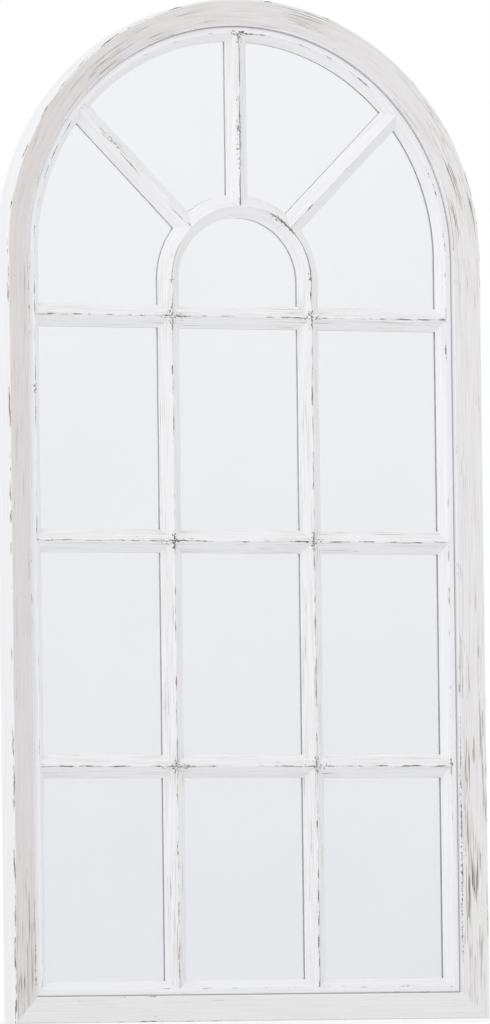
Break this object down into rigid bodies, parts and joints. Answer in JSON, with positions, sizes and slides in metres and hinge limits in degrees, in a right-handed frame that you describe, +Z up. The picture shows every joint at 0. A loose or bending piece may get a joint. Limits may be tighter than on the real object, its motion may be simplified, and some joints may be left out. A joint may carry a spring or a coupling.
{
  "type": "arched window mirror",
  "caption": "Wall mirror shaped as an arched sash window: a moulded, painted wooden frame with gabled glazing bars, a small inner arch and spokes over one sheet of mirror.",
  "frame": {"origin": "bottom centre of the whole box: on the underside of the bottom rail, midway across and midway between the front arris and the wall", "axes": "+Z up, +X to the right as seen from the front, -Y out of the front of the mirror, +Y towards the wall"},
  "size_m": [0.65, 0.0522, 1.3],
  "materials": {
    "painted_wood": "white chalk paint, rubbed through to grey-brown wood on ridges and arrises",
    "clear_glass": "clear float glass, polished",
    "silvering": "silver film under backing paint",
    "fibreboard": "bare medium-density fibreboard",
    "zinc_plated_steel": "bright zinc plate",
    "felt": "pressed grey-brown felt"
  },
  "bodies": {
    "mirror": {"back_board": "fibreboard", "back_clips": "zinc_plated_steel", "bottom_rail": "painted_wood", "clip_screws": "zinc_plated_steel", "cross_bar_high_left": "painted_wood", "cross_bar_high_middle": "painted_wood", "cross_bar_high_right": "painted_wood", "cross_bar_low_left": "painted_wood", "cross_bar_low_middle": "painted_wood", "cross_bar_low_right": "painted_wood", "cross_bar_middle_left": "painted_wood", "cross_bar_middle_middle": "painted_wood", "cross_bar_middle_right": "painted_wood", "hanger_plate_left": "zinc_plated_steel", "hanger_plate_right": "zinc_plated_steel", "hanger_screws_left": "zinc_plated_steel", "hanger_screws_right": "zinc_plated_steel", "head_left_lower": "painted_wood", "head_left_upper": "painted_wood", "head_right_lower": "painted_wood", "head_right_upper": "painted_wood", "inner_arch": "painted_wood", "left_stile": "painted_wood", "mirror_glass": "clear_glass", "mirror_silvering": "silvering", "right_stile": "painted_wood", "sash_arch_left_lower": "painted_wood", "sash_arch_left_upper": "painted_wood", "sash_arch_right_lower": "painted_wood", "sash_arch_right_upper": "painted_wood", "sash_bottom": "painted_wood", "sash_left": "painted_wood", "sash_right": "painted_wood", "spoke_left": "painted_wood", "spoke_right": "painted_wood", "spoke_top": "painted_wood", "upright_bar_left": "painted_wood", "upright_bar_right": "painted_wood", "wall_bumper_left": "felt", "wall_bumper_right": "felt"},
    "ring_left": {"hanger_ring_left": "zinc_plated_steel"},
    "ring_right": {"hanger_ring_right": "zinc_plated_steel"}
  },
  "joints": [
    {"name": "ring_left_swing", "type": "hinge", "parent": "mirror", "child": "ring_left", "pos_m": [-0.302, 0.02346, 0.905], "axis": [1, 0, 0], "range_deg": [0, 180]},
    {"name": "ring_right_swing", "type": "hinge", "parent": "mirror", "child": "ring_right", "pos_m": [0.302, 0.02346, 0.905], "axis": [1, 0, 0], "range_deg": [0, 180]}
  ]
}
